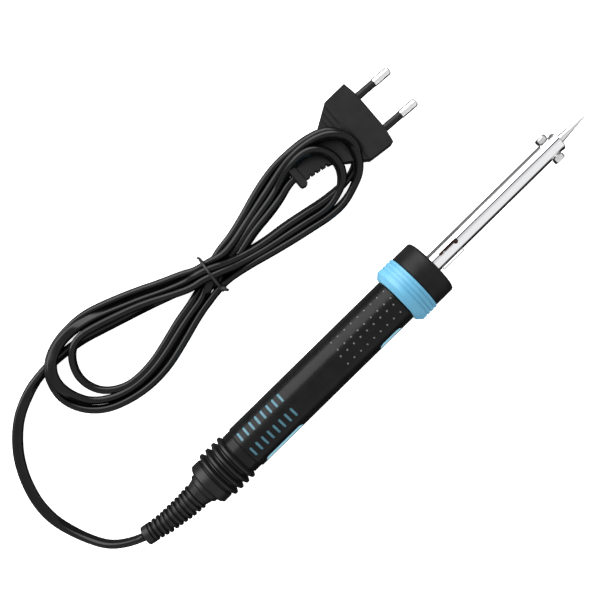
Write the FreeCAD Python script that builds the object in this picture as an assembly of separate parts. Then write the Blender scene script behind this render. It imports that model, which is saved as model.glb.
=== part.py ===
import FreeCAD, Part
import math
import os

# Pencil soldering iron with a two-pole flat cord.  Millimetres.
# +X runs along the iron towards the tip, +Z up, the iron lies on z = 0 and
# x = 0 is half way between the tip and the end of the strain relief.

# ---- overall stations along the iron ----
AXIS_Z = 14.35
TIP_X = 135.0
BARREL_FRONT_X = 117.1
SCREW_X = 111.8
RING_FRONT_X = 38.7
COLLAR_FRONT_X = 28.0
COLLAR_REAR_X = 17.4
SHELL_REAR_X = -79.9
BOSS_REAR_X = -99.4
ROLL = 8.0

# ---- metal end ----
TIP_R = 2.0
TIP_BORE_R = 2.06
TIP_REAR_X = 62.0
BARREL_R = 4.35
BARREL_BORE_R = 3.95
BARREL_REAR_X = 29.5
BUSH_R = 3.92
BUSH_REAR_X = 104.6
CORE_TUBE_R = 2.45
CORE_FRONT_X = 106.4
CORE_REAR_X = 44.0
SCREW_R = 1.45
SCREW_HOLE_R = 1.5
SCREW_HEAD_R = 2.75
SCREW_HEAD_H = 2.1
WASHER_H = 0.4
KEYHOLE_X = (43.8, 54.4)
KEYHOLE_W = 1.4
KEYHOLE_ANGLE = 14.0

# ---- handle ----
RING_R = 13.9
COLLAR_R = 14.35
SPIGOT_R = 11.95
CORE_R = 9.3
CAVITY_R = 7.6
SHELL_BORE_R = 9.35
SHELL_R = 10.8
SHELL_END_R = 10.3
CORE_END_X = 33.4
SLOT_FIRST_X = -48.8
SLOT_PITCH = 3.46
SLOT_COUNT = 8
SLOT_W = 1.25
SLOT_L = 5.1
SLOT_OFFSET = 24.4
WINDOWS = [(-61.2, 22.4, 5.3), (3.6, 12.8, 5.3)]
WINDOW_ROLL = 17.0
DOT_ROWS = (7.8, 32.0)
DOT_FIRST_X = {-1: 14.1, 1: 15.2}
DOT_PITCH = 3.96
DOT_COUNT = 9

# ---- rear cap and strain relief ----
RIB_FIRST_X = -81.7
RIB_PITCH = 3.5
RIB_COUNT = 4
RIB_R = 11.6
VALLEY_R = 9.6
BOSS_R = 10.5
RELIEF_PIVOT_X = -101.5
RELIEF_BENDS = (4.2, 6.3)
RELIEF_RIB_PITCH = 2.36

# ---- cord: flat twin, modelled round ----
CORD_D = 5.0
LEAD_ROUTE = [
    (-134.2, 2.9, 14.3),
    (-147.6, 6.9, 9.0),
    (-158.2, 21.5, 2.9),
    (-163.6, 42.0, 2.7),
    (-157.0, 64.0, 2.7),
    (-143.9, 79.3, 2.7),
    (-129.0, 86.2, 2.7),
    (-118.0, 87.9, 2.7),
]
HANK_OUTER = [
    (-34.0, 73.4), (-48.2, 78.8), (-58.0, 83.2), (-69.2, 88.1), (-81.2, 92.3),
    (-90.2, 94.9), (-98.4, 95.8), (-106.3, 94.0), (-112.3, 91.2), (-116.8, 87.7),
    (-120.6, 82.5), (-122.7, 77.6), (-123.2, 72.2), (-121.2, 65.3), (-115.4, 57.6),
    (-105.1, 51.0), (-92.6, 48.3), (-81.6, 48.0), (-72.8, 48.4), (-61.3, 51.4),
    (-53.7, 53.6), (-43.8, 55.0), (-32.0, 56.6), (-23.2, 56.6), (-11.8, 53.2),
    (5.7, 48.7), (14.8, 46.7), (22.8, 45.2), (31.0, 44.6), (39.5, 45.6),
    (47.5, 48.8), (53.2, 53.4), (56.2, 59.6), (55.8, 66.2), (52.2, 72.4),
    (46.6, 77.2), (37.4, 80.9), (26.9, 82.9), (16.7, 82.2), (9.4, 81.0),
    (-2.7, 77.0), (-12.9, 74.0), (-23.1, 72.0),
]
HANK_LEFT_HOLE = [
    (-100.0, 82.2), (-88.0, 79.6), (-75.2, 76.2), (-63.0, 72.5), (-53.0, 68.9),
    (-44.6, 65.9), (-56.6, 63.4), (-66.2, 60.6), (-77.4, 58.5), (-89.2, 58.0),
    (-98.6, 60.0), (-104.5, 64.2), (-107.4, 69.5), (-107.6, 74.5), (-105.8, 79.2),
]
HANK_RIGHT_HOLE = [
    (-14.4, 63.0), (-6.8, 64.2), (2.2, 65.0), (10.8, 66.0), (22.0, 66.6),
    (32.0, 65.2), (38.6, 63.4), (39.8, 59.2), (35.8, 54.6), (26.9, 55.4),
    (18.9, 56.8), (4.1, 60.0), (-4.5, 61.0),
]
HANK_H = 5.6
HANK_LIFT = 0.15
TIE_X = (-42.0, -23.0)
TIE_TOP = 10.6
TIE_WIRE_R = 0.55

# ---- plug, in its own frame: u along the pins, v across, w up ----
PLUG_FACE = (67.6, 67.3)
PLUG_ANGLE = -3.8
PLUG_H = 13.7
PIN_SPACING = 18.6
PIN_R = 2.0
PIN_L = 19.2
SLEEVE_L = 10.2
PLUG_OUTLINE = [
    (0.0, 9.6), (-1.3, 16.8), (-13.2, 16.1), (-23.5, 9.2), (-27.0, 6.4),
]
BOOT_OUTLINE = [
    (-27.0, 6.3), (-31.0, 5.2), (-36.0, 4.5), (-41.2, 4.1), (-41.6, 5.7),
    (-43.0, 6.1), (-44.6, 5.6), (-45.0, 4.6),
]


def vec(x, y, z):
    return FreeCAD.Vector(x, y, z)


def tube(x0, x1, r_out, r_in=0.0):
    low = min(x0, x1)
    length = abs(x1 - x0)
    body = Part.makeCylinder(r_out, length, vec(low, 0, AXIS_Z), vec(1, 0, 0))
    if r_in > 0:
        body = body.cut(Part.makeCylinder(r_in, length + 2, vec(low - 1, 0, AXIS_Z), vec(1, 0, 0)))
    return body


def lathe(profile):
    pts = [vec(x, 0, AXIS_Z + r) for x, r in profile]
    pts.append(pts[0])
    face = Part.Face(Part.makePolygon(pts))
    return face.revolve(vec(0, 0, AXIS_Z), vec(1, 0, 0), 360)


def around(shape, angle):
    # angle is measured from +Z towards +Y
    turned = shape.copy()
    turned.rotate(vec(0, 0, AXIS_Z), vec(1, 0, 0), -angle)
    return turned


def box(x0, x1, y0, y1, z0, z1):
    return Part.makeBox(x1 - x0, y1 - y0, z1 - z0, vec(x0, y0, z0))


def stadium(cx, length, width, r0, r1):
    half = length / 2 - width / 2
    mid = box(cx - half, cx + half, -width / 2, width / 2, AXIS_Z + r0, AXIS_Z + r1)
    left = Part.makeCylinder(width / 2, r1 - r0, vec(cx - half, 0, AXIS_Z + r0))
    right = Part.makeCylinder(width / 2, r1 - r0, vec(cx + half, 0, AXIS_Z + r0))
    return mid.fuse([left, right])


def slot(cx, width, length, r0, r1):
    mid = box(cx - width / 2, cx + width / 2, -length / 2 + width / 2, length / 2 - width / 2,
              AXIS_Z + r0, AXIS_Z + r1)
    ends = []
    for side in (-1, 1):
        y = side * (length / 2 - width / 2)
        ends.append(Part.makeCylinder(width / 2, r1 - r0, vec(cx, y, AXIS_Z + r0)))
    return mid.fuse(ends)


# ---------------------------------------------------------------- metal end
def make_tip():
    return lathe([
        (TIP_REAR_X, 0), (TIP_REAR_X, TIP_R - 0.3), (TIP_REAR_X + 0.6, TIP_R),
        (BARREL_FRONT_X + 0.6, TIP_R), (BARREL_FRONT_X + 2.6, 1.82),
        (TIP_X - 0.5, 0.34), (TIP_X - 0.12, 0.2), (TIP_X, 0),
    ])


def make_barrel():
    body = lathe([
        (BARREL_REAR_X - 1.0, BARREL_BORE_R), (BARREL_REAR_X - 1.0, BARREL_R),
        (BARREL_FRONT_X - 1.6, BARREL_R), (BARREL_FRONT_X - 1.2, BARREL_R + 0.2),
        (BARREL_FRONT_X - 0.4, BARREL_R + 0.2), (BARREL_FRONT_X, BARREL_R - 0.1),
        (BARREL_FRONT_X, 2.75), (BARREL_FRONT_X - 0.45, 2.6), (BARREL_FRONT_X - 0.6, BARREL_BORE_R),
    ])
    keyhole = slot_along(KEYHOLE_X[0], KEYHOLE_X[1], KEYHOLE_W)
    eye = Part.makeCylinder(1.15, 6, vec(KEYHOLE_X[1] - 1.2, -0.55, AXIS_Z + 1))
    body = body.cut([around(keyhole, KEYHOLE_ANGLE), around(eye, KEYHOLE_ANGLE)])
    cross = Part.makeCylinder(SCREW_HOLE_R, 12, vec(SCREW_X, -6, AXIS_Z), vec(0, 1, 0))
    body = body.cut(cross)
    seam = box(55.5, 108.0, -0.12, 0.12, AXIS_Z + BARREL_R - 0.1, AXIS_Z + 6)
    body = body.cut(around(seam, KEYHOLE_ANGLE))
    # vent lance pressed out of the side opposite the keyhole
    strip = box(42.0, 53.6, -0.9, 0.9, AXIS_Z + BARREL_R + 0.75, AXIS_Z + BARREL_R + 1.1)
    leg_rear = box(41.6, 42.0, -0.9, 0.9, AXIS_Z + BARREL_R - 0.2, AXIS_Z + BARREL_R + 1.1)
    leg_front = box(53.6, 54.0, -0.9, 0.9, AXIS_Z + BARREL_R - 0.2, AXIS_Z + BARREL_R + 1.1)
    lance = strip.fuse([leg_rear, leg_front])
    return body.fuse(around(lance, -93.0))


def slot_along(x0, x1, width):
    half = width / 2
    mid = box(x0 + half, x1 - half, -half, half, AXIS_Z + 1, AXIS_Z + 7)
    rear = Part.makeCylinder(half, 6, vec(x0 + half, 0, AXIS_Z + 1))
    front = Part.makeCylinder(half, 6, vec(x1 - half, 0, AXIS_Z + 1))
    return mid.fuse([rear, front])


def make_bush():
    body = tube(BUSH_REAR_X, BARREL_FRONT_X - 0.75, BUSH_R, TIP_BORE_R)
    body = body.cut(tube(BUSH_REAR_X - 1, CORE_FRONT_X + 0.05, CORE_TUBE_R + 0.03))
    cross = Part.makeCylinder(SCREW_HOLE_R, 12, vec(SCREW_X, -6, AXIS_Z), vec(0, 1, 0))
    return body.cut(cross)


def make_screw(side):
    seat = BARREL_R + 0.05 + WASHER_H
    shank = Part.makeCylinder(SCREW_R, seat - TIP_R - 0.02, vec(SCREW_X, TIP_R + 0.02, AXIS_Z), vec(0, 1, 0))
    head = Part.makeCylinder(SCREW_HEAD_R, SCREW_HEAD_H, vec(SCREW_X, seat, AXIS_Z), vec(0, 1, 0))
    rim = [e for e in head.Edges if abs(e.BoundBox.YMin - seat - SCREW_HEAD_H) < 0.01 and e.BoundBox.XLength > 1]
    head = head.makeFillet(0.7, rim)
    top = seat + SCREW_HEAD_H
    drive = box(SCREW_X - 3.5, SCREW_X + 3.5, top - 0.8, top + 1, AXIS_Z - 0.35, AXIS_Z + 0.35)
    drive.rotate(vec(SCREW_X, 0, AXIS_Z), vec(0, 1, 0), 35 if side > 0 else -20)
    screw = shank.fuse(head).cut(drive)
    if side < 0:
        screw.rotate(vec(SCREW_X, 0, AXIS_Z), vec(0, 0, 1), 180)
    return screw


def make_washers():
    rings = []
    for side in (-1, 1):
        ring = Part.makeCylinder(2.5, WASHER_H, vec(SCREW_X, BARREL_R + 0.03, AXIS_Z), vec(0, 1, 0))
        hole = Part.makeCylinder(1.6, 4, vec(SCREW_X, BARREL_R - 1, AXIS_Z), vec(0, 1, 0))
        ring = ring.cut(hole)
        if side < 0:
            ring.rotate(vec(SCREW_X, 0, AXIS_Z), vec(0, 0, 1), 180)
        rings.append(ring)
    return Part.makeCompound(rings)


def make_winding():
    turns = []
    x = CORE_REAR_X + 6.0
    while x < CORE_FRONT_X - 6.0:
        turns.append(Part.makeTorus(2.88, 0.17, vec(x, 0, AXIS_Z), vec(1, 0, 0)))
        x += 2.2
    return Part.makeCompound(turns)


def make_rear_bush():
    body = tube(31.0, 46.0, 3.9)
    body = body.cut(tube(CORE_REAR_X - 0.05, 47, CORE_TUBE_R + 0.03))
    for side in (-1, 1):
        body = body.cut(Part.makeCylinder(0.72, 20, vec(29, side * 2.9, AXIS_Z), vec(1, 0, 0)))
    return body


def make_lead_sleeve(side):
    y = side * 2.9
    body = Part.makeCylinder(0.68, 75.0, vec(-31.0, y, AXIS_Z), vec(1, 0, 0))
    bore = Part.makeCylinder(0.36, 80.0, vec(-33.0, y, AXIS_Z), vec(1, 0, 0))
    return body.cut(bore)


def make_lead_wires():
    wires = []
    for side in (-1, 1):
        wires.append(Part.makeCylinder(0.32, 82.5, vec(-36.0, side * 2.9, AXIS_Z), vec(1, 0, 0)))
    return Part.makeCompound(wires)


# ------------------------------------------------------------------- handle
def make_flange():
    disc = tube(CORE_END_X, CORE_END_X + 0.9, 11.4, BARREL_R + 0.02)
    hub = tube(CORE_END_X + 0.9, CORE_END_X + 1.6, 5.4, BARREL_R + 0.02)
    body = disc.fuse(hub)
    holes = []
    for k in range(3):
        hole = Part.makeCylinder(1.3, 4, vec(CORE_END_X - 1, 0, AXIS_Z + 8.6), vec(1, 0, 0))
        holes.append(around(hole, 120.0 * k + 60))
    return body.cut(holes)


def make_flange_screws():
    screws = []
    for k in range(3):
        shank = Part.makeCylinder(1.1, 6.9, vec(CORE_END_X - 6.0, 0, AXIS_Z + 8.6), vec(1, 0, 0))
        head = Part.makeCylinder(2.1, 1.2, vec(CORE_END_X + 0.9, 0, AXIS_Z + 8.6), vec(1, 0, 0))
        cross = box(CORE_END_X + 1.6, CORE_END_X + 3, -1.2, 1.2, AXIS_Z + 8.4, AXIS_Z + 8.8)
        screws.append(around(shank.fuse(head).cut(cross), 120.0 * k + 60))
    return Part.makeCompound(screws)


def make_front_ring():
    return lathe([
        (COLLAR_FRONT_X + 0.3, SPIGOT_R + 0.06), (COLLAR_FRONT_X + 0.3, RING_R - 0.25),
        (COLLAR_FRONT_X + 0.6, RING_R), (RING_FRONT_X - 1.1, RING_R),
        (RING_FRONT_X - 0.35, RING_R - 0.4), (RING_FRONT_X, RING_R - 1.2),
        (RING_FRONT_X, 5.0), (RING_FRONT_X - 0.3, 4.7), (RING_FRONT_X - 2.4, 4.7),
        (RING_FRONT_X - 2.4, SPIGOT_R + 0.06),
    ])


def make_collar():
    profile = [(COLLAR_REAR_X, SPIGOT_R + 0.02), (COLLAR_REAR_X, 11.9 + 0.4), (19.6, COLLAR_R)]
    for groove in (22.3, 24.2, 26.4):
        profile += [(groove - 0.45, COLLAR_R), (groove - 0.2, COLLAR_R - 0.35),
                    (groove + 0.2, COLLAR_R - 0.35), (groove + 0.45, COLLAR_R)]
    profile += [(COLLAR_FRONT_X - 0.3, COLLAR_R), (COLLAR_FRONT_X, COLLAR_R - 0.3),
                (COLLAR_FRONT_X, SPIGOT_R + 0.02)]
    return lathe(profile)


def window_cuts(shrink, r0, r1):
    cuts = []
    for cx, length, width in WINDOWS:
        for side in (-90.0, 90.0):
            one = stadium(cx, length - 2 * shrink, width - 2 * shrink, r0, r1)
            cuts.append(around(one, WINDOW_ROLL + side))
    return cuts


def slot_cuts(shrink, r0, r1):
    cuts = []
    for base in (0.0, 180.0):
        for side in (-SLOT_OFFSET, SLOT_OFFSET):
            for k in range(SLOT_COUNT):
                x = SLOT_FIRST_X - k * SLOT_PITCH
                one = slot(x, SLOT_W - 2 * shrink, SLOT_L - 2 * shrink, r0, r1)
                cuts.append(around(one, base + ROLL + side))
    return cuts


def make_core():
    outer = lathe([
        (SHELL_REAR_X + 0.05, 0), (SHELL_REAR_X + 0.05, CORE_R), (COLLAR_REAR_X, CORE_R),
        (COLLAR_REAR_X, SPIGOT_R), (CORE_END_X - 0.3, SPIGOT_R), (CORE_END_X, SPIGOT_R - 0.3),
        (CORE_END_X, 0),
    ])
    body = outer.cut([tube(SHELL_REAR_X - 2, 24.0, CAVITY_R), tube(23, 40, BARREL_R + 0.02)])
    pilots = []
    for k in range(3):
        pilot = Part.makeCylinder(1.1, 8, vec(CORE_END_X - 6.4, 0, AXIS_Z + 8.6), vec(1, 0, 0))
        pilots.append(around(pilot, 120.0 * k + 60))
    body = body.cut(pilots)
    pads = []
    for pad in window_cuts(0.12, CORE_R - 1.2, CORE_R + 4):
        pads.append(pad.common(tube(-90, 20, SHELL_R - 0.25, CORE_R - 0.3)))
    for pad in slot_cuts(0.08, CORE_R - 0.4, CORE_R + 4):
        pads.append(pad.common(tube(-90, 20, SHELL_R - 0.35, CORE_R - 0.3)))
    return body.fuse(pads)


def make_shell():
    body = lathe([
        (SHELL_REAR_X, SHELL_BORE_R), (SHELL_REAR_X, SHELL_END_R - 0.3),
        (SHELL_REAR_X + 0.3, SHELL_END_R), (-75.8, SHELL_END_R), (-75.2, SHELL_R),
        (COLLAR_REAR_X - 0.5, SHELL_R), (COLLAR_REAR_X - 0.1, SHELL_R - 0.4),
        (COLLAR_REAR_X - 0.1, SHELL_BORE_R),
    ])
    body = body.cut(window_cuts(0.0, CORE_R - 3, CORE_R + 4) + slot_cuts(0.0, CORE_R - 2, CORE_R + 4))
    dots = []
    for base in (0.0, 180.0):
        for row in DOT_ROWS:
            for side in (-1, 1):
                for k in range(DOT_COUNT):
                    x = DOT_FIRST_X[side] - k * DOT_PITCH
                    dot = Part.makeCone(0.62, 0.3, 0.4, vec(x, 0, AXIS_Z + SHELL_R - 0.15))
                    dots.append(around(dot, base + ROLL + side * row))
    return body.fuse(dots)


def cavity_fit(shape):
    return shape.common(tube(-90, 24, CAVITY_R - 0.02))


def make_terminal_block():
    block = box(-52.0, -38.0, -7.6, 7.6, AXIS_Z - 8, AXIS_Z + 3.4)
    block = cavity_fit(block)
    cuts = []
    for side in (-1, 1):
        y = side * 2.9
        cuts.append(Part.makeCylinder(1.85, 20, vec(-55, y, AXIS_Z), vec(1, 0, 0)))
        for x in (-48.5, -41.5):
            cuts.append(Part.makeCylinder(1.45, 6, vec(x, y, AXIS_Z), vec(0, 0, 1)))
    return block.cut(cuts)


def make_terminal_inserts():
    inserts = []
    for side in (-1, 1):
        y = side * 2.9
        body = Part.makeCylinder(1.82, 13.0, vec(-51.5, y, AXIS_Z), vec(1, 0, 0))
        bore = Part.makeCylinder(1.0, 20.0, vec(-55, y, AXIS_Z), vec(1, 0, 0))
        body = body.cut(bore)
        for x in (-48.5, -41.5):
            body = body.cut(Part.makeCylinder(0.85, 6, vec(x, y, AXIS_Z), vec(0, 0, 1)))
        inserts.append(body)
    return Part.makeCompound(inserts)


def make_terminal_screws():
    screws = []
    for side in (-1, 1):
        for x in (-48.5, -41.5):
            y = side * 2.9
            shank = Part.makeCylinder(0.82, 1.3, vec(x, y, AXIS_Z + 0.75), vec(0, 0, 1))
            head = Part.makeCylinder(1.35, 1.3, vec(x, y, AXIS_Z + 1.9), vec(0, 0, 1))
            drive = box(x - 2, x + 2, y - 0.2, y + 0.2, AXIS_Z + 2.7, AXIS_Z + 4)
            screws.append(shank.fuse(head).cut(drive))
    return Part.makeCompound(screws)


def make_clamp_base():
    base = cavity_fit(box(-68.0, -60.0, -7.6, 7.6, AXIS_Z - 8, AXIS_Z - 0.4))
    groove = Part.makeCylinder(2.45, 20, vec(-74, 0, AXIS_Z), vec(1, 0, 0))
    cuts = [groove]
    for side in (-1, 1):
        cuts.append(Part.makeCylinder(1.0, 5, vec(-64, side * 4.4, AXIS_Z - 4.6)))
    return base.cut(cuts)


def make_clamp_bar():
    bar = cavity_fit(box(-67.0, -61.0, -6.4, 6.4, AXIS_Z + 0.2, AXIS_Z + 3.4))
    cuts = [Part.makeCylinder(2.45, 20, vec(-74, 0, AXIS_Z), vec(1, 0, 0))]
    for side in (-1, 1):
        cuts.append(Part.makeCylinder(1.2, 8, vec(-64, side * 4.4, AXIS_Z - 1)))
    return bar.cut(cuts)


def make_clamp_screws():
    screws = []
    for side in (-1, 1):
        y = side * 4.4
        shank = Part.makeCylinder(0.98, 7.4, vec(-64, y, AXIS_Z - 4.0))
        head = Part.makeCylinder(1.6, 1.2, vec(-64, y, AXIS_Z + 3.4))
        drive = box(-66, -62, y - 0.2, y + 0.2, AXIS_Z + 4.2, AXIS_Z + 5)
        screws.append(shank.fuse(head).cut(drive))
    return Part.makeCompound(screws)


def make_cord_tail():
    return Part.makeCylinder(2.42, 34.4, vec(-90.4, 0, AXIS_Z), vec(1, 0, 0))


def make_cord_conductors():
    wires = []
    for side in (-1, 1):
        y = side * 2.9
        start = vec(-56.0, side * 1.15, AXIS_Z)
        bend = vec(-53.8, side * 1.15, AXIS_Z)
        turn = vec(-51.9, y, AXIS_Z)
        end = vec(-46.0, y, AXIS_Z)
        runs = Part.Wire([Part.makeLine(start, bend), Part.makeLine(bend, turn), Part.makeLine(turn, end)])
        ring = Part.Wire(Part.makeCircle(0.7, start, vec(1, 0, 0)))
        wires.append(runs.makePipeShell([ring], True, False, 2))
    return Part.makeCompound(wires)


def make_rear_cap():
    profile = [(-74.5, 6.0), (-74.5, CAVITY_R - 0.05), (SHELL_REAR_X - 0.1, CAVITY_R - 0.05),
               (SHELL_REAR_X - 0.1, VALLEY_R)]
    for k in range(RIB_COUNT):
        x = RIB_FIRST_X - k * RIB_PITCH
        profile += [(x + 1.55, VALLEY_R), (x + 0.45, RIB_R), (x - 0.45, RIB_R), (x - 1.55, VALLEY_R)]
    profile += [(-94.0, VALLEY_R), (-94.4, BOSS_R - 0.2), (-94.8, BOSS_R), (BOSS_REAR_X + 0.9, BOSS_R),
                (BOSS_REAR_X, BOSS_R - 1.0), (BOSS_REAR_X, 3.6), (-93.0, 3.6), (-93.0, 6.0)]
    return lathe(profile)


def relief_ribs(first, count):
    out = []
    for k in range(first, first + count):
        x = RELIEF_PIVOT_X - 5.3 - RELIEF_RIB_PITCH * k
        r = 6.3 - 0.17 * k
        valley = 5.0 - 0.17 * k
        out += [(x + 0.75, valley), (x + 0.55, r - 0.15), (x + 0.3, r), (x - 0.3, r),
                (x - 0.55, r - 0.15), (x - 0.75, valley)]
    return out


def make_relief():
    flange = tube(-92.8, -91.0, 5.6)
    stem = tube(-92.8, BOSS_REAR_X - 0.2, 3.55)
    collar = lathe([
        (BOSS_REAR_X - 0.02, 0), (BOSS_REAR_X - 0.02, 7.7), (-101.6, 7.5), (-102.4, 6.7), (-102.4, 0),
    ])
    bend_1 = RELIEF_PIVOT_X - 5.3 - 2 * RELIEF_RIB_PITCH
    bend_2 = bend_1 - 5 * RELIEF_RIB_PITCH
    root = lathe([(RELIEF_PIVOT_X + 0.8, 0), (RELIEF_PIVOT_X + 0.8, 6.5), (RELIEF_PIVOT_X - 1.2, 6.5),
                  (RELIEF_PIVOT_X - 4.2, 5.7)] + relief_ribs(0, 2) + [(bend_1, 4.66), (bend_1, 0)])
    middle = lathe([(bend_1 + 0.7, 0), (bend_1 + 0.7, 4.3)] + relief_ribs(2, 5)[1:]
                   + [(bend_2, 3.9), (bend_2, 0)])
    last = bend_2 - 3 * RELIEF_RIB_PITCH
    end = lathe([(bend_2 + 0.7, 0), (bend_2 + 0.7, 3.5)] + relief_ribs(7, 4)[1:]
                + [(last - 0.9, 3.5), (last - 1.1, 4.6), (last - 3.9, 4.5), (last - 4.2, 4.2), (last - 4.2, 0)])
    # the boot bends a little more towards +Y at each of two ribs on its way back
    end.rotate(vec(bend_2, 0, AXIS_Z), vec(0, 0, 1), -RELIEF_BENDS[1])
    lower = middle.fuse(end)
    lower.rotate(vec(bend_1, 0, AXIS_Z), vec(0, 0, 1), -RELIEF_BENDS[0])
    boot = root.fuse(lower)
    return collar.fuse([flange, stem, boot])


# --------------------------------------------------------------------- cord
def rounded_route(points):
    edges = []
    radii = []
    last = points[0]
    for i in range(1, len(points) - 1):
        before = points[i] - points[i - 1]
        after = points[i + 1] - points[i]
        half = before.getAngle(after) / 2
        trim = 0.45 * min(before.Length, after.Length)
        radii.append(trim / math.tan(half))
        a = points[i] - before.normalize() * trim
        b = points[i] + after.normalize() * trim
        into = points[i] - a
        middle = points[i] + ((a + b) * 0.5 - points[i]).normalize() * (
            radii[-1] / math.cos(half) - radii[-1])
        edges.append(Part.LineSegment(last, a).toShape())
        edges.append(Part.Arc(a, middle, b).toShape())
        last = b
    edges.append(Part.LineSegment(last, points[-1]).toShape())
    return Part.Wire(edges), radii


def make_lead():
    points = [vec(*p) for p in LEAD_ROUTE]
    wire, radii = rounded_route(points)
    start = points[0]
    ring = Part.Wire(Part.makeCircle(CORD_D / 2, start, points[1] - points[0]))
    body = wire.makePipeShell([ring], True, False, 2)
    area = math.pi * CORD_D ** 2 / 4
    print("lead radii", [round(r, 1) for r in radii])
    print("lead length", round(wire.Length, 1), "volume ratio", round(body.Volume / (wire.Length * area), 4))
    return body


def loop_face(points):
    curve = Part.BSplineCurve()
    curve.interpolate([vec(x, y, 0) for x, y in points], PeriodicFlag=True)
    return Part.Face(Part.Wire(curve.toShape()))


def slab(face, z0, z1):
    lower = face.copy()
    lower.translate(vec(0, 0, z0))
    return lower.extrude(vec(0, 0, z1 - z0))


def wedge(x0, x1, z0, z1, flat_to):
    # height limit that climbs from z0 at x0 to z1 at x1 and stays level after that
    pts = [vec(x0, 30, -1), vec(flat_to, 30, -1), vec(flat_to, 30, z1), vec(x1, 30, z1), vec(x0, 30, z0)]
    pts.append(pts[0])
    return Part.Face(Part.makePolygon(pts)).extrude(vec(0, 80, 0))


def make_hank(plug_parts):
    outer = loop_face(HANK_OUTER)
    rings = outer.cut([loop_face(HANK_LEFT_HOLE), loop_face(HANK_RIGHT_HOLE)])
    face = rings.Faces[0]
    low = slab(face, HANK_LIFT, HANK_H)
    tall = slab(face, HANK_LIFT, 18.0)
    at_tie = tall.common(box(TIE_X[0], TIE_X[1], 40, 90, 0, TIE_TOP))
    over_lead = tall.common(box(-121.0, -84.0, 76, 97, 0, 8.9))
    climb = wedge(6.0, 34.0, HANK_H - 0.4, 16.6, 60.0)
    upper = tall.common(climb).common(box(6, 60, 66, 90, -1, 20))
    descent = wedge(16.0, 42.0, HANK_H - 0.4, 16.6, 60.0)
    lower = tall.common(descent).common(box(16, 60, 40, 66, -1, 20))
    body = low.fuse([at_tie, over_lead, upper, lower])
    for part in plug_parts:
        body = body.cut(part)
    solids = sorted(body.Solids, key=lambda s: s.Volume)
    print("hank solids", [round(s.Volume, 1) for s in solids])
    return solids[-1].removeSplitter()


def make_tie():
    x = -34.0
    lean = 1.1
    r = TIE_WIRE_R
    top = 74.6
    bottom = 55.6
    pts = [
        vec(x + lean, top, TIE_TOP / 2), vec(x + lean, top - 0.6, TIE_TOP + 0.7),
        vec(x - lean, bottom + 0.6, TIE_TOP + 0.7), vec(x - lean, bottom, TIE_TOP / 2),
        vec(x - lean, bottom + 0.6, 0.62), vec(x + lean, top - 0.6, 0.62),
    ]
    outline = Part.makePolygon(pts + [pts[0]])
    parts = []
    for i in range(len(pts)):
        a = pts[i]
        b = pts[(i + 1) % len(pts)]
        parts.append(Part.makeCylinder(r, (b - a).Length, a, b - a))
        parts.append(Part.makeSphere(r, a))
    knot = Part.makeCylinder(1.0, 4.6, vec(x - lean, bottom - 0.9, 6.0), vec(0.75, -0.3, 0.15))
    tail = Part.makeSphere(1.1, vec(x - lean + 4.0, bottom - 2.2, 6.7))
    bump = Part.makeSphere(0.95, vec(x + lean + 0.3, top + 0.2, 6.2))
    return parts[0].fuse(parts[1:] + [knot, tail, bump])


# --------------------------------------------------------------------- plug
def plug_place(shape):
    placed = shape.copy()
    placed.rotate(vec(0, 0, 0), vec(0, 0, 1), PLUG_ANGLE)
    placed.translate(vec(PLUG_FACE[0], PLUG_FACE[1], PLUG_H / 2))
    return placed


def plan_solid(outline, half_height):
    pts = [vec(u, v, -half_height) for u, v in outline]
    pts += [vec(u, -v, -half_height) for u, v in reversed(outline)]
    pts.append(pts[0])
    return Part.Face(Part.makePolygon(pts)).extrude(vec(0, 0, 2 * half_height))


def side_solid(profile, half_width):
    pts = [vec(u, -half_width, w) for u, w in profile]
    pts += [vec(u, -half_width, -w) for u, w in reversed(profile)]
    pts.append(pts[0])
    return Part.Face(Part.makePolygon(pts)).extrude(vec(0, 2 * half_width, 0))


def make_plug_body():
    body = plan_solid(PLUG_OUTLINE, 8)
    side = side_solid([(0.1, 6.1), (-0.8, 6.85), (-12.4, 6.85), (-15.0, 5.7), (-27.0, 4.4)], 20)
    body = body.common(side)
    grooves = []
    for u in (-14.4, -16.8, -19.2):
        for v in (-1, 1):
            for w in (-1, 1):
                top = 6.85 - 1.15 * min(1.0, (-12.4 - u) / 2.6) - max(0.0, -15.0 - u) * 0.108
                z0 = top - 0.55 if w > 0 else -top - 1.0
                a, b = sorted((v * 4.6, v * 18.0))
                grooves.append(box(u - 0.45, u + 0.45, a, b, z0, z0 + 1.55))
    body = body.cut(grooves)
    for side_v in (-1, 1):
        y = side_v * PIN_SPACING / 2
        body = body.cut(Part.makeCylinder(2.2, 2, vec(-0.9, y, 0), vec(1, 0, 0)))
        body = body.cut(Part.makeCylinder(1.46, 12, vec(-9.0, y, 0), vec(1, 0, 0)))
    return body


def make_plug_boot():
    body = plan_solid(BOOT_OUTLINE, 6)
    side = side_solid([(-27.0, 4.35), (-41.2, 3.9), (-41.6, 4.7), (-44.6, 4.7), (-45.0, 4.0)], 10)
    body = body.common(side)
    grooves = []
    for k in range(4):
        u = -30.0 - 2.8 * k
        for v in (-1, 1):
            a, b = sorted((v * (5.9 - 0.35 * k - 1.3), v * 9.0))
            grooves.append(box(u - 0.5, u + 0.5, a, b, -8, 8))
    return body.cut(grooves)


def make_pin(side):
    y = side * PIN_SPACING / 2
    root = Part.makeCylinder(1.45, 8.9 + SLEEVE_L, vec(-8.9, y, 0), vec(1, 0, 0))
    metal = Part.makeCylinder(PIN_R, PIN_L - SLEEVE_L, vec(SLEEVE_L, y, 0), vec(1, 0, 0))
    rim = [e for e in metal.Edges if abs(e.BoundBox.XMin - PIN_L) < 0.01 and e.BoundBox.YLength > 1]
    metal = metal.makeFillet(1.1, rim)
    return root.fuse(metal)


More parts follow.
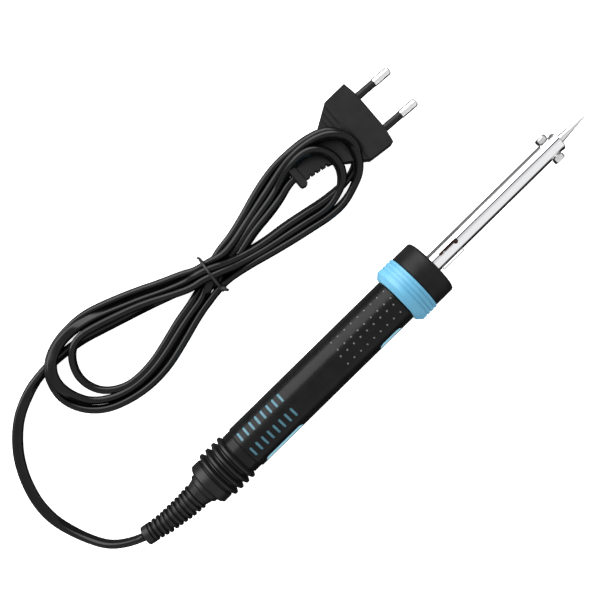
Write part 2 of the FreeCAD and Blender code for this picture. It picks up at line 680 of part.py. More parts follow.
def make_pin_sleeve(side):
    y = side * PIN_SPACING / 2
    body = Part.makeCylinder(1.8, SLEEVE_L + 0.85, vec(-0.88, y, 0), vec(1, 0, 0))
    return body.cut(Part.makeCylinder(1.47, 20, vec(-5, y, 0), vec(1, 0, 0)))


def build():
    plug_body = plug_place(make_plug_body())
    plug_boot = plug_place(make_plug_boot())
    nodes = {
        "soldering_tip": make_tip(),
        "barrel_tube": make_barrel(),
        "tip_bush": make_bush(),
        "tip_screw_left": make_screw(1),
        "tip_screw_right": make_screw(-1),
        "tip_screw_washers": make_washers(),
        "heater_core_tube": tube(CORE_REAR_X, CORE_FRONT_X, CORE_TUBE_R, TIP_BORE_R),
        "mica_former": tube(CORE_REAR_X + 3, BUSH_REAR_X - 0.6, 2.68, CORE_TUBE_R + 0.02),
        "heater_winding": make_winding(),
        "mica_wrap": tube(CORE_REAR_X + 3, BUSH_REAR_X - 0.6, 3.5, 3.08),
        "rear_ceramic_bush": make_rear_bush(),
        "lead_sleeve_live": make_lead_sleeve(1),
        "lead_sleeve_neutral": make_lead_sleeve(-1),
        "lead_wires": make_lead_wires(),
        "barrel_flange": make_flange(),
        "flange_screws": make_flange_screws(),
        "front_ring": make_front_ring(),
        "blue_collar": make_collar(),
        "handle_core": make_core(),
        "handle_shell": make_shell(),
        "terminal_block": make_terminal_block(),
        "terminal_inserts": make_terminal_inserts(),
        "terminal_screws": make_terminal_screws(),
        "clamp_base": make_clamp_base(),
        "clamp_bar": make_clamp_bar(),
        "clamp_screws": make_clamp_screws(),
        "cord_tail": make_cord_tail(),
        "cord_conductors": make_cord_conductors(),
        "rear_cap": make_rear_cap(),
        "strain_relief": make_relief(),
        "cord_lead": make_lead(),
        "cord_hank": make_hank([plug_body, plug_boot]),
        "cord_tie": make_tie(),
        "plug_body": plug_body,
        "plug_boot": plug_boot,
        "plug_pin_live": plug_place(make_pin(1)),
        "plug_pin_neutral": plug_place(make_pin(-1)),
        "pin_sleeve_live": plug_place(make_pin_sleeve(1)),
        "pin_sleeve_neutral": plug_place(make_pin_sleeve(-1)),
    }
    os.makedirs("parts", exist_ok=True)
    for name, shape in nodes.items():
        b = shape.BoundBox
        print("%-20s valid %s solids %d vol %9.1f  x %.1f..%.1f y %.1f..%.1f z %.1f..%.1f" % (
            name, shape.isValid(), len(shape.Solids), shape.Volume,
            b.XMin, b.XMax, b.YMin, b.YMax, b.ZMin, b.ZMax))
        shape.exportStep("parts/%s.step" % name)


build()
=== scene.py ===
import bpy
import bmesh
import math
from mathutils import Matrix, Vector


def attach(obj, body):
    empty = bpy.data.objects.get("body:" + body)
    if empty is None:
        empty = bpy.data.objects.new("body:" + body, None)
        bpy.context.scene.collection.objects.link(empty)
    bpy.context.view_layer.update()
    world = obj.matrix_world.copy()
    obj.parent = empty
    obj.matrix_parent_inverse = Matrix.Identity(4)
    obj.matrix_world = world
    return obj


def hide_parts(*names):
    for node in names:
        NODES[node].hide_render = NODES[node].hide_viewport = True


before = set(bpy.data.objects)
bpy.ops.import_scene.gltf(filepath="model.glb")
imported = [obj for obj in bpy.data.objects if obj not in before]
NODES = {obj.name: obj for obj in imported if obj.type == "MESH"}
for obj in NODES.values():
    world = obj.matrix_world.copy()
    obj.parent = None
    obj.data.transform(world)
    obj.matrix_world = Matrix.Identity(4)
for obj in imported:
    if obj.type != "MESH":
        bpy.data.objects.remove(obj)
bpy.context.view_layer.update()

# height of the iron's axis above the surface, in metres
AXIS_Z = 0.01435
# the flat twin cord's section, in metres
CORD_WIDE = 0.0050
CORD_THIN = 0.0035
MM_PER_M = 1000

# ------------------------------------------------------------------ camera
# straight above the object, turned so that the iron runs from lower left to upper right
CAM_PLACE = (-0.01315, 0.02960, 0.455)
CAM_RIGHT = Vector((0.7139, -0.7002, 0.0)).normalized()
CAM_UP = Vector((0.7002, 0.7139, 0.0)).normalized()
FIELD_OF_VIEW = 33.36
NEAREST_SEEN = 0.01
cam_data = bpy.data.cameras.new("camera")
cam = bpy.data.objects.new("camera", cam_data)
bpy.context.scene.collection.objects.link(cam)
turn = Matrix((CAM_RIGHT, CAM_UP, Vector((0, 0, 1)))).transposed()
cam.matrix_world = Matrix.Translation(CAM_PLACE) @ turn.to_4x4()
cam_data.sensor_fit = "HORIZONTAL"
cam_data.angle = math.radians(FIELD_OF_VIEW)
cam_data.clip_start = NEAREST_SEEN
bpy.context.scene.camera = cam

# ---------------------------------------------------------------- cord line
# places are in millimetres and tilts in degrees: 0 lies flat on the surface, 90 stands on edge
FLAT = 0.0
EDGE = 90.0

# the free stretch, the same points as the CAD tube: x, y, z, tilt
LEAD = [
    (-134.2, 2.9, 14.3, 80.0), (-147.6, 6.9, 9.0, 80.0), (-158.2, 21.5, 2.9, 60.0),
    (-163.6, 42.0, 2.7, 12.0), (-157.0, 64.0, 2.7, 0.0), (-143.9, 79.3, 2.7, 10.0),
    (-129.0, 86.2, 2.7, 70.0),
]
# then under the left loop and along the inner side of its upper branch: x, y, z, tilt
UNDER = [
    (-117.5, 87.9, 2.7, 60.0), (-106.9, 87.4, 2.7, 60.0), (-95.8, 85.8, 2.7, 60.0),
    (-83.6, 81.9, 2.7, 65.0), (-71.5, 78.2, 2.6, 55.0), (-60.3, 75.0, 2.2, 20.0),
    (-50.2, 71.4, 1.9, 0.0), (-43.2, 68.8, 2.2, 0.0),
]

# rails of the left loop, from the tie round the far end and back: x and y of the outer strand,
# x and y of the inner one, share across for the middle one, lifts of the outer, middle and
# inner one, tilt of the outer two
LEFT = [
    (-42.9, 74.8, -44.5, 67.4, 0.46, 2.7, 4.0, 7.0, 70.0),
    (-52.6, 78.6, -54.5, 72.2, 0.48, 2.8, 2.8, 7.2, 55.0),
    (-64.0, 84.1, -64.5, 77.4, 0.50, 2.8, 2.8, 7.4, 50.0),
    (-76.0, 89.0, -75.2, 81.4, 0.47, 2.8, 2.8, 7.6, 50.0),
    (-86.8, 92.6, -85.4, 84.8, 0.36, 2.7, 4.2, 7.6, 40.0),
    (-97.8, 93.4, -94.0, 87.0, 0.22, 2.2, 5.4, 7.6, 0.0),
    (-107.6, 91.6, -100.7, 85.7, 0.15, 4.3, 7.8, 7.8, 0.0),
    (-115.0, 86.8, -105.6, 81.0, 0.15, 6.5, 10.0, 6.4, 0.0),
    (-119.3, 79.5, -108.5, 75.2, 0.20, 5.5, 9.0, 4.0, 0.0),
    (-120.6, 71.3, -108.5, 69.1, 0.34, 2.8, 5.6, 2.8, 40.0),
    (-117.2, 62.4, -105.6, 62.8, 0.42, 2.8, 2.8, 2.7, 75.0),
    (-109.5, 55.2, -99.9, 58.3, 0.54, 2.8, 2.8, 2.7, 75.0),
    (-98.4, 51.1, -92.2, 55.6, 0.56, 2.8, 2.8, 3.0, 70.0),
    (-87.0, 49.5, -80.4, 55.9, 0.52, 2.8, 2.8, 2.7, 60.0),
    (-75.6, 50.2, -69.4, 58.5, 0.52, 2.8, 2.8, 2.7, 55.0),
    (-64.0, 53.1, -59.5, 61.2, 0.52, 2.8, 2.8, 2.7, 55.0),
    (-53.0, 56.1, -50.4, 62.7, 0.52, 2.8, 2.8, 2.7, 60.0),
    (-43.2, 57.7, -43.4, 64.2, 0.50, 2.7, 3.6, 2.6, 90.0),
]
# the upper branch on the right, from the tie outward: x and y of the outer strand,
# x and y of the inner one, lift
RIGHT_UP = [
    (-24.0, 70.9, -24.0, 62.5, 2.8),
    (-16.0, 71.6, -17.0, 63.6, 2.8),
    (-6.0, 74.1, -6.5, 66.1, 2.8),
    (4.0, 77.2, 4.0, 67.0, 2.8),
    (13.5, 79.4, 13.0, 68.4, 3.3),
]
# how far across from the outer strand each of its four strands runs
UP_SHARES = (0.0, 0.36, 0.68, 1.0)
UP_TILT = 72.0
# the lower branch on the right, from the far end to the tie, with the same columns
RIGHT_LOW = [
    (32.5, 46.9, 32.6, 53.2, 2.9),
    (23.0, 47.3, 25.2, 54.1, 2.9),
    (13.5, 49.3, 15.5, 56.1, 2.9),
    (4.0, 51.3, 5.0, 58.2, 2.9),
    (-6.0, 53.7, -5.5, 59.4, 2.9),
    (-15.5, 56.3, -15.5, 61.6, 3.3),
    (-25.0, 58.5, -25.0, 64.6, 6.6),
]
LOW_SHARES = (0.0, 1.0, 0.5)
LOW_TILT = 62.0
# the outer strand of the lower branch stays down on the surface as far as the tie
LOW_OUTER_LIFT = 2.9
# the three turns over the plug, from the upper branch round to the lower one: x, y, z
OVER_PLUG = [
    [(23.5, 80.6, 5.0), (32.6, 79.3, 9.0), (40.4, 77.4, 12.6), (46.6, 74.8, 14.0), (50.4, 70.2, 14.4),
     (51.4, 64.4, 14.3), (50.2, 58.4, 13.0), (46.8, 53.2, 10.2), (41.4, 49.6, 6.6)],
    [(23.0, 77.6, 6.5), (32.0, 77.3, 11.5), (39.8, 75.8, 14.6), (45.8, 73.0, 16.6), (50.3, 68.4, 17.2),
     (52.0, 62.8, 15.4), (50.4, 57.8, 11.6), (46.2, 54.5, 7.4), (40.2, 53.3, 4.2)],
    [(22.5, 74.4, 9.0), (29.6, 75.0, 13.0), (35.4, 73.8, 14.2), (39.7, 70.0, 14.2), (41.6, 64.6, 13.0),
     (41.0, 58.8, 10.6), (37.6, 54.2, 7.2), (31.8, 51.5, 4.2)],
]
# a turn stands on edge below this height and leans over the plug above it
LEAN_FROM_Z = 7.0
LEAN_TILT = 50.0
# where a strand enters and leaves the tie
TIE_RIGHT_X = -30.5
TIE_LEFT_X = -37.5
# from the upper branch into the plug's boot: x, y, z
INTO_BOOT = [(18.5, 69.9, 5.6), (23.5, 70.3, 6.85), (29.0, 69.8, 6.85)]

CURVE_STEPS = 8
TILT_SMOOTHING = 12


def mixed(a, b, share):
    return a + (b - a) * share


def left_loop(which):
    # which is 0 for the outer strand, 1 for the middle one and 2 for the inner one
    points = []
    for xo, yo, xi, yi, share, lift_o, lift_m, lift_i, tilt in LEFT:
        part = (0.0, share, 1.0)[which]
        lift = (lift_o, lift_m, lift_i)[which]
        points.append((mixed(xo, xi, part), mixed(yo, yi, part), lift, EDGE if which == 2 else tilt))
    return points


def up_branch(place, bump=0.0):
    # bump lifts the first point, and the second by half, where a strand lies over another
    points = []
    for k, (xo, yo, xi, yi, lift) in enumerate(RIGHT_UP):
        share = UP_SHARES[place]
        extra = bump if k == 0 else bump * 0.5 if k == 1 else 0.0
        points.append((mixed(xo, xi, share), mixed(yo, yi, share), lift + extra, UP_TILT))
    return points


def low_branch(turn_no):
    points = []
    # the third turn over the plug ends beside the first station, so it starts at the second
    for xo, yo, xi, yi, lift in RIGHT_LOW[turn_no // 2:]:
        share = LOW_SHARES[turn_no]
        z = LOW_OUTER_LIFT if turn_no == 0 else lift
        points.append((mixed(xo, xi, share), mixed(yo, yi, share), z, LOW_TILT))
    return points


def over_plug(turn_no):
    points = []
    for x, y, z in OVER_PLUG[turn_no]:
        points.append((x, y, z, EDGE if z < LEAN_FROM_Z else LEAN_TILT))
    return points


def at_tie(y_right, y_left, z_right, z_left, leftward, tilt=EDGE):
    # one pass through the tie, towards the left loop or away from it
    right = (TIE_RIGHT_X, y_right, z_right, tilt)
    left = (TIE_LEFT_X, y_left, z_left, tilt)
    return [right, left] if leftward else [left, right]


def cord_route():
    # the free stretch, three turns over the plug with three left loops between and after them,
    # then the last strand into the plug's boot
    route = LEAD + UNDER
    route += at_tie(69.2, 68.4, 2.6, 2.4, False)
    route += up_branch(0) + over_plug(0) + low_branch(0)
    route += at_tie(59.0, 58.6, 2.6, 2.6, True)
    route += left_loop(0)[::-1]
    route += at_tie(70.6, 71.9, 4.6, 3.6, False)
    route += up_branch(1, 3.2) + over_plug(1) + low_branch(1)
    route += at_tie(67.0, 69.8, 8.3, 8.0, True)
    route += left_loop(1)
    route += at_tie(64.9, 63.6, 3.4, 4.4, False, FLAT)
    route += up_branch(2) + over_plug(2) + low_branch(2)
    route += at_tie(63.4, 66.2, 8.3, 8.3, True)
    route += left_loop(2)
    route += at_tie(61.8, 62.8, 2.2, 1.7, False, FLAT)
    route += up_branch(3)
    route += [(x, y, z, EDGE) for x, y, z in INTO_BOOT]
    return route


def curve_mesh(name, points, radius=0.0, closed=False):
    # a smooth curve guided by points in millimetres: a bare line, or a round wire of that radius
    data = bpy.data.curves.new(name, "CURVE")
    data.dimensions = "3D"
    data.bevel_depth = radius
    data.bevel_resolution = 4
    spline = data.splines.new("NURBS")
    spline.points.add(len(points) - 1)
    for point, place in zip(spline.points, points):
        point.co = (*(v / MM_PER_M for v in place), 1.0)
    spline.order_u = 3
    spline.use_endpoint_u = not closed
    spline.use_cyclic_u = closed
    spline.resolution_u = CURVE_STEPS
    holder = bpy.data.objects.new(name, data)
    bpy.context.scene.collection.objects.link(holder)
    bpy.context.view_layer.update()
    mesh = bpy.data.meshes.new_from_object(holder)
    bpy.data.objects.remove(holder)
    return mesh


def smoothed(values, rounds):
    for _ in range(rounds):
        inner = [(a + 2 * b + c) / 4 for a, b, c in zip(values, values[1:], values[2:])]
        values = [values[0]] + inner + [values[-1]]
    return values


SECTION_POINTS = 20
# powers below 1 square an ellipse up towards a flat flex with round edges
WIDE_POWER = 0.72
THIN_POWER = 0.8
GROOVE_SHARE = 0.16
GROOVE_WIDTH = 0.00062


def twin_section():
    # flat twin flex: two cores side by side under one sheath, a shallow groove between
    ring = []
    for k in range(SECTION_POINTS):
        a = 2 * math.pi * k / SECTION_POINTS
        c, s = math.cos(a), math.sin(a)
        w = CORD_WIDE / 2 * math.copysign(abs(c) ** WIDE_POWER, c)
        h = CORD_THIN / 2 * math.copysign(abs(s) ** THIN_POWER, s)
        h *= 1.0 - GROOVE_SHARE * math.exp(-(w / GROOVE_WIDTH) ** 2)
        ring.append((w, h))
    return ring


def link(name, mesh, smooth=True):
    obj = bpy.data.objects.new(name, mesh)
    bpy.context.scene.collection.objects.link(obj)
    if smooth:
        for poly in mesh.polygons:
            poly.use_smooth = True
    return obj


def ribbon(name, points, tilts, section):
    # the section swept along the points, turned by each point's tilt about the line
    bm = bmesh.new()
    rings = []
    last = len(points) - 1
    for i, p in enumerate(points):
        along = (points[min(i + 1, last)] - points[max(i - 1, 0)]).normalized()
        across = Vector((0, 0, 1)).cross(along).normalized()
        up = along.cross(across)
        c, s = math.cos(math.radians(tilts[i])), math.sin(math.radians(tilts[i]))
        wide = across * c + up * s
        thin = up * c - across * s
        rings.append([bm.verts.new(p + wide * w + thin * h) for w, h in section])
    n = len(section)
    for a, b in zip(rings, rings[1:]):
        for k in range(n):
            bm.faces.new((a[k], a[(k + 1) % n], b[(k + 1) % n], b[k]))
    bm.faces.new(rings[0][::-1])
    bm.faces.new(rings[-1])
    bmesh.ops.recalc_face_normals(bm, faces=bm.faces)
    mesh = bpy.data.meshes.new(name)
    bm.to_mesh(mesh)
    bm.free()
    return link(name, mesh)


route = cord_route()
line = [v.co.copy() for v in curve_mesh("cord_line", [stop[:3] for stop in route]).vertices]
tilts = []
for i in range(len(line)):
    at = (len(route) - 1) * i / (len(line) - 1)
    k = min(int(at), len(route) - 2)
    tilts.append(mixed(route[k][3], route[k + 1][3], at - k))
tilts = smoothed(tilts, TILT_SMOOTHING)
cord = ribbon("cord_run", line, tilts, twin_section())

# --------------------------------------------------------------- materials
# nearly all of a noise texture's values lie between these two
NOISE_REACH = (0.3, 0.7)
# noise scales for patches of tone, patches of gloss and slow ripples
MOTTLE, SHEEN, RIPPLE = 160.0, 900.0, 260.0


class Look:
    """A material with its principled shader, and short ways to add and join nodes."""

    def __init__(self, name, **shader):
        self.mat = bpy.data.materials.new(name)
        self.mat.use_nodes = True
        self.tree = self.mat.node_tree
        self.shader = self.tree.nodes["Principled BSDF"]
        for key, value in shader.items():
            self.shader.inputs[key.replace("_", " ")].default_value = value
        self.coord = self.tree.nodes.new("ShaderNodeTexCoord").outputs["Object"]

    def node(self, kind, **settings):
        made = self.tree.nodes.new(kind)
        for key, value in settings.items():
            setattr(made, key, value)
        return made

    def join(self, a, b):
        self.tree.links.new(a, b)

    def mapped(self, scale):
        made = self.node("ShaderNodeMapping")
        made.inputs["Scale"].default_value = scale
        self.join(self.coord, made.inputs["Vector"])
        return made.outputs["Vector"]

    def noise(self, scale, detail=4.0, rough=0.55, stretch=None):
        made = self.node("ShaderNodeTexNoise")
        made.inputs["Scale"].default_value = scale
        made.inputs["Detail"].default_value = detail
        made.inputs["Roughness"].default_value = rough
        self.join(self.mapped(stretch) if stretch else self.coord, made.inputs["Vector"])
        return made.outputs["Fac"]

    def ramp(self, source, low, high):
        made = self.node("ShaderNodeValToRGB")
        for mark, place, tone in zip(made.color_ramp.elements, NOISE_REACH, (low, high)):
            mark.position = place
            mark.color = (*tone, 1)
        self.join(source, made.inputs["Fac"])
        return made.outputs["Color"]

    def span(self, source, low, high, reach=NOISE_REACH):
        made = self.node("ShaderNodeMapRange")
        for key, value in zip(("From Min", "From Max", "To Min", "To Max"), (*reach, low, high)):
            made.inputs[key].default_value = value
        self.join(source, made.inputs["Value"])
        return made.outputs["Result"]

    def maths(self, operation, first, second=None):
        made = self.node("ShaderNodeMath", operation=operation)
        for socket, value in zip(made.inputs, (first, second)):
            if isinstance(value, float):
                socket.default_value = value
            elif value:
                self.join(value, socket)
        return made.outputs[0]

    def tone(self):
        return self.shader.inputs["Base Color"].links[0].from_socket

    def colour(self, output):
        self.join(output, self.shader.inputs["Base Color"])

    def roughness(self, output):
        self.join(output, self.shader.inputs["Roughness"])

    def bump(self, height, strength, distance):
        made = self.node("ShaderNodeBump")
        made.inputs["Strength"].default_value = strength
        made.inputs["Distance"].default_value = distance
        self.join(height, made.inputs["Height"])
        chain = self.shader.inputs["Normal"]
        if chain.is_linked:
            self.join(chain.links[0].from_socket, made.inputs["Normal"])
        self.join(made.outputs["Normal"], chain)


def grey(v):
    return (v, v, v * 1.03)


def moulded(name, low, high, rough, grain=0.05, grain_scale=5200.0, gloss=0.5):
    # plastic, rubber, ceramic: tones from low to high, a fine grain and a slight ripple
    look = Look(name, Specular_IOR_Level=gloss)
    look.colour(look.ramp(look.noise(MOTTLE, 5.0), low, high))
    look.roughness(look.span(look.noise(SHEEN), rough - 0.05, rough + 0.06))
    look.bump(look.noise(grain_scale, 3.0), grain, 0.0002)
    look.bump(look.noise(RIPPLE, 3.0), 0.03, 0.0006)
    return look


def metal(name, low, high, rough, stretch, scale=900.0, scratch=0.06):
    # fine marks, drawn out along the axis that has the smallest stretch
    look = Look(name, Metallic=1.0)
    fine = look.noise(scale, 6.0, 0.6, stretch)
    look.colour(look.ramp(fine, low, high))
    look.roughness(look.span(fine, rough - 0.04, rough + 0.08))
    look.bump(fine, scratch, 0.00005)
    return look


def across_axis(look):
    # the place across the iron's axis: towards +Y, and up
    split = look.node("ShaderNodeSeparateXYZ")
    look.join(look.coord, split.inputs[0])
    return split.outputs["Y"], look.maths("SUBTRACT", split.outputs["Z"], AXIS_Z)


def polar_angle(look):
    # angle round the iron's axis in degrees, 0 straight up and growing towards +Y
    return look.maths("DEGREES", look.maths("ARCTAN2", *across_axis(look)))


def axis_distance(look):
    squares = [look.maths("MULTIPLY", value, value) for value in across_axis(look)]
    return look.maths("SQRT", look.maths("ADD", *squares))


def blend_over(look, mask, colour):
    # the look's own tone where the mask is 0, this colour where it is 1
    made = look.node("ShaderNodeMix", data_type="RGBA")
    look.join(mask, made.inputs[0])
    look.join(look.tone(), made.inputs[6])
    made.inputs[7].default_value = (*colour, 1)
    look.colour(made.outputs[2])


def near(look, value, centre, width, edge):
    # 1 within width of the centre, 0 outside, with a soft edge
    off = look.maths("ABSOLUTE", look.maths("SUBTRACT", value, centre))
    return look.span(off, 0.0, 1.0, (width + edge, width))


# name, tones from low to high and roughness, then what differs from the usual grain or marks
looks = {
    "shell": moulded("shell_black", grey(0.003), grey(0.006), 0.25, 0.10, 3600.0, 0.15),
    "ring": moulded("ring_black", grey(0.004), grey(0.0085), 0.42, 0.16, 2600.0, 0.15),
    "cap": moulded("cap_black", grey(0.004), grey(0.008), 0.36, 0.14, 2600.0, 0.26),
    "relief": moulded("relief_rubber", grey(0.004), grey(0.008), 0.40, 0.14, 2600.0, 0.26),
    # the handle core's tones are a deep teal: painted shade for the hollows behind the thin slots
    "core": moulded("core_plastic_slot_shade", (0.050, 0.150, 0.200), (0.070, 0.185, 0.235), 0.36, 0.04,
                    4000.0, 0.3),
    "sky": moulded("sky_plastic", (0.094, 0.300, 0.450), (0.118, 0.345, 0.500), 0.34, 0.06,
                   3400.0, 0.3),
    "plug": moulded("plug_black", grey(0.0045), grey(0.0085), 0.46, 0.18, 3000.0, 0.22),
    "sleeve": moulded("pin_sleeve_black", grey(0.004), grey(0.008), 0.40, gloss=0.25),
    "cord": moulded("cord_sheath", grey(0.0010), grey(0.0030), 0.19, 0.06, 1500.0, 0.25),
    "tie": moulded("tie_sleeve", grey(0.010), grey(0.020), 0.40, gloss=0.35),
    "white": moulded("terminal_white", (0.70, 0.68, 0.60), (0.80, 0.78, 0.70), 0.45),
    "fibre": moulded("clamp_fibre", (0.16, 0.08, 0.04), (0.26, 0.14, 0.07), 0.6),
    "ceramic": moulded("ceramic_brown", (0.022, 0.009, 0.005), (0.045, 0.020, 0.012), 0.62,
                       gloss=0.15),
    "mica": moulded("mica_sheet", (0.30, 0.21, 0.11), (0.48, 0.38, 0.22), 0.35),
    # the mica wrap is painted near black: painted shade for the inside of the keyhole slot
    "mica_wrap_shade": moulded("mica_painted_shade", (0.012, 0.004, 0.002), (0.034, 0.013, 0.007), 0.5,
                        gloss=0.15),
    "glass_sleeve": moulded("glass_sleeve", (0.66, 0.62, 0.50), (0.82, 0.79, 0.68), 0.75, 0.4, 5000.0),
    "core_sheath": moulded("conductor_sheath", (0.20, 0.07, 0.02), (0.30, 0.11, 0.04), 0.4),
    "barrel": metal("barrel_chrome", (0.86, 0.86, 0.87), (0.95, 0.95, 0.96), 0.12, (1.0, 9.0, 9.0)),
    "tip": metal("tip_plating", (0.66, 0.66, 0.66), (0.80, 0.80, 0.80), 0.12, (0.6, 6.0, 6.0),
                 1400.0, 0.1),
    "screw": metal("screw_steel", (0.68, 0.68, 0.68), (0.90, 0.90, 0.89), 0.12, (1.0, 1.0, 1.0),
                   1500.0, 0.1),
    "steel": metal("turned_steel", (0.45, 0.45, 0.45), (0.62, 0.62, 0.61), 0.34, (8.0, 1.0, 1.0)),
    "wire": metal("heater_wire", (0.30, 0.29, 0.27), (0.44, 0.42, 0.40), 0.4, (1.0, 1.0, 1.0)),
    "brass": metal("terminal_brass", (0.62, 0.44, 0.16), (0.76, 0.58, 0.26), 0.3, (6.0, 1.0, 1.0)),
    "pin": metal("pin_nickel", (0.70, 0.70, 0.69), (0.86, 0.86, 0.85), 0.20, (1.0, 8.0, 8.0),
                 1200.0, 0.08),
}

# a lengthwise rolled seam shows as a fine grey line on the chromed barrel
SEAM_ANGLE, SEAM_HALF, SEAM_EDGE = 14.0, 3.2, 2.2
barrel = looks["barrel"]
seam = near(barrel, polar_angle(barrel), SEAM_ANGLE, SEAM_HALF, SEAM_EDGE)
blend_over(barrel, seam, (0.09, 0.09, 0.09))
barrel.bump(seam, -0.25, 0.00012)

# painted light and shade: the core is painted brighter in the side windows and darker behind the thin
# slots
WINDOW_ANGLE, WINDOW_HALF, WINDOW_EDGE = 90.0, 36.0, 4.0
core = looks["core"]
either_side = core.maths("ABSOLUTE", polar_angle(core))
window_painted_light = near(core, either_side, WINDOW_ANGLE, WINDOW_HALF, WINDOW_EDGE)
blend_over(core, window_painted_light, (0.27, 0.57, 0.69))

# the small raised grip dots are painted paler than the shell round them: a painted highlight on their
# domes
SHELL_REACH = (0.01082, 0.01090)
shell = looks["shell"]
dot_painted_highlight = shell.span(axis_distance(shell), 0.0, 1.0, SHELL_REACH)
blend_over(shell, dot_painted_highlight, (0.115, 0.112, 0.108))

# which look each CAD node wears
DRESS = {
    "soldering_tip": "tip", "barrel_tube": "barrel", "tip_bush": "steel", "tip_screw_left": "screw",
    "tip_screw_right": "screw", "tip_screw_washers": "screw", "heater_core_tube": "steel",
    "mica_former": "mica", "heater_winding": "wire", "mica_wrap": "mica_wrap_shade",
    "rear_ceramic_bush": "ceramic", "lead_sleeve_live": "glass_sleeve",
    "lead_sleeve_neutral": "glass_sleeve", "lead_wires": "wire",
    "barrel_flange": "steel", "flange_screws": "screw", "front_ring": "ring", "blue_collar": "sky",
    "handle_core": "core", "handle_shell": "shell", "terminal_block": "white", "terminal_inserts": "brass",
    "terminal_screws": "screw", "clamp_base": "fibre", "clamp_bar": "fibre", "clamp_screws": "screw",
    "cord_tail": "cord", "cord_conductors": "core_sheath", "rear_cap": "cap", "strain_relief": "relief",
    "plug_body": "plug", "plug_boot": "plug", "plug_pin_live": "pin", "plug_pin_neutral": "pin",
    "pin_sleeve_live": "sleeve", "pin_sleeve_neutral": "sleeve",
}
for node, key in DRESS.items():
    slots = NODES[node].material_slots
    if not len(slots):
        NODES[node].data.materials.append(looks[key].mat)
    for one in slots:
        one.material = looks[key].mat

cord.data.materials.append(looks["cord"].mat)
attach(cord, "iron")
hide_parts("cord_lead", "cord_hank")


# ------------------------------------------------------------------ the tie
# points in millimetres: a hoop round the strands, and its loose end on the far side
TIE_HOOP = [
    (-32.6, 73.9, 2.0), (-32.6, 74.1, 5.6), (-32.8, 72.0, 8.8), (-33.2, 68.4, 11.2),
    (-33.7, 64.8, 11.4), (-34.2, 61.0, 9.9), (-34.7, 57.8, 7.0), (-34.9, 56.6, 3.6),
    (-34.7, 58.4, 0.8), (-33.8, 65.0, 0.8), (-32.9, 71.8, 0.8),
]
TIE_END = [(-32.4, 73.6, 5.6), (-32.2, 74.8, 6.6), (-32.9, 75.2, 6.2)]
HOOP_RADIUS, TWIST_RADIUS, END_RADIUS = 0.00064, 0.00066, 0.0006
# the two ends twisted together: where they start, how far they run along x and y, the number
# of turns and of points, and how far from their axis they are at the start and at the end
TWIST_FROM = (-35.0, 58.3, 6.9)
TWIST_RUN = (1.9, -2.0)
TWIST_TURNS = 1.6
TWIST_POINTS = 22
TWIST_WIDTHS = (0.55, 0.90)


def twisted_end(start_angle):
    points = []
    x, y, z = TWIST_FROM
    for k in range(TWIST_POINTS):
        t = k / (TWIST_POINTS - 1)
        a = 2 * math.pi * TWIST_TURNS * t + start_angle
        width = mixed(*TWIST_WIDTHS, t)
        on_axis = (x + TWIST_RUN[0] * t, y + TWIST_RUN[1] * t)
        points.append((on_axis[0], on_axis[1] + width * math.cos(a), z + width * math.sin(a)))
    return points


def make_tie():
    wires = [curve_mesh("tie_hoop", TIE_HOOP, HOOP_RADIUS, closed=True)]
    wires += [curve_mesh("tie_twist", twisted_end(start), TWIST_RADIUS) for start in (0.0, math.pi)]
    wires += [curve_mesh("tie_end", TIE_END, END_RADIUS)]
    bm = bmesh.new()
    for wire in wires:
        bm.from_mesh(wire)
    mesh = bpy.data.meshes.new("twist_tie")
    bm.to_mesh(mesh)
    bm.free()
    mesh.materials.append(looks["tie"].mat)
    return link("twist_tie", mesh)


tie = make_tie()
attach(tie, "iron")
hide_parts("cord_tie")


# ------------------------------------------------------- floor, light, world
# half the floor's width in metres, and how strongly it glows
FLOOR_HALF = 12.0
FLOOR_GLOW = 0.8
# a tent of light round the iron's axis: turn from overhead in degrees, positive towards +Y,
# and the level there. It is bright on the -Y side, greyer on the other and dark underneath.
TENT = [(-180, 0.02), (-98, 0.02), (-86, 0.92), (-14, 0.92), (-4, 0.7), (14, 0.7), (22, 0.8),
        (95, 0.5), (112, 0.22), (180, 0.05)]
# the key light, a softbox that leans from overhead towards +Y: degrees and metres
KEY_LEAN = 56.0
KEY_DISTANCE = 0.95
KEY_WIDE, KEY_LONG = 0.95, 1.6
KEY_RADIANCE = 4.6
KEY_MIDDLE = (-0.02, 0.03)
KEY_TARGET = (0.0, 0.03, 0.0)


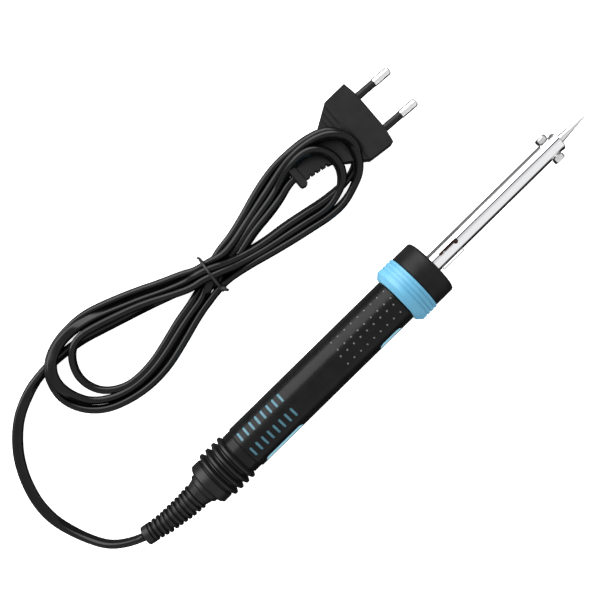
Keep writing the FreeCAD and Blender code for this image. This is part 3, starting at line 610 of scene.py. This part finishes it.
def make_floor():
    # pale and glowing, so that shadows stay faint, and left out of mirror reflections
    mesh = bpy.data.meshes.new("floor")
    half = FLOOR_HALF
    corners = [(-half, -half, 0), (half, -half, 0), (half, half, 0), (-half, half, 0)]
    mesh.from_pydata(corners, [], [(0, 1, 2, 3)])
    floor = link("floor", mesh, smooth=False)
    look = Look("floor_white", Roughness=0.9, Specular_IOR_Level=0.1)
    look.colour(look.ramp(look.noise(3.0, 2.0), (0.90, 0.90, 0.90), (0.93, 0.93, 0.93)))
    look.shader.inputs["Emission Color"].default_value = (1, 1, 1, 1)
    look.shader.inputs["Emission Strength"].default_value = FLOOR_GLOW
    mesh.materials.append(look.mat)
    floor.visible_glossy = False


def make_key():
    lean = math.radians(KEY_LEAN)
    x, y = KEY_MIDDLE
    place = Vector((x, KEY_DISTANCE * math.sin(lean) + y, KEY_DISTANCE * math.cos(lean)))
    data = bpy.data.lights.new("key", "AREA")
    data.shape = "RECTANGLE"
    data.size = KEY_LONG
    data.size_y = KEY_WIDE
    data.energy = KEY_RADIANCE * math.pi * KEY_WIDE * KEY_LONG
    obj = bpy.data.objects.new("key", data)
    bpy.context.scene.collection.objects.link(obj)
    aim = Vector(KEY_TARGET) - place
    obj.matrix_world = Matrix.Translation(place) @ aim.to_track_quat("-Z", "Y").to_matrix().to_4x4()


def make_world():
    world = bpy.data.worlds.new("studio")
    bpy.context.scene.world = world
    world.use_nodes = True
    tree = world.node_tree
    coord = tree.nodes.new("ShaderNodeTexCoord")
    split = tree.nodes.new("ShaderNodeSeparateXYZ")
    angle = tree.nodes.new("ShaderNodeMath")
    angle.operation = "ARCTAN2"
    share = tree.nodes.new("ShaderNodeMapRange")
    share.inputs["From Min"].default_value = -math.pi
    share.inputs["From Max"].default_value = math.pi
    ramp = tree.nodes.new("ShaderNodeValToRGB")
    tree.links.new(coord.outputs["Generated"], split.inputs[0])
    tree.links.new(split.outputs["Y"], angle.inputs[0])
    tree.links.new(split.outputs["Z"], angle.inputs[1])
    tree.links.new(angle.outputs[0], share.inputs["Value"])
    tree.links.new(share.outputs["Result"], ramp.inputs["Fac"])
    tree.links.new(ramp.outputs["Color"], tree.nodes["Background"].inputs["Color"])
    marks = ramp.color_ramp.elements
    while len(marks) < len(TENT):
        marks.new(0.5)
    for mark, (turn_by, level) in zip(marks, TENT):
        mark.position = (turn_by + 180) / 360
        mark.color = (level, level, level * 1.01, 1)


make_floor()
make_world()
make_key()
bpy.context.scene.view_settings.view_transform = "Standard"
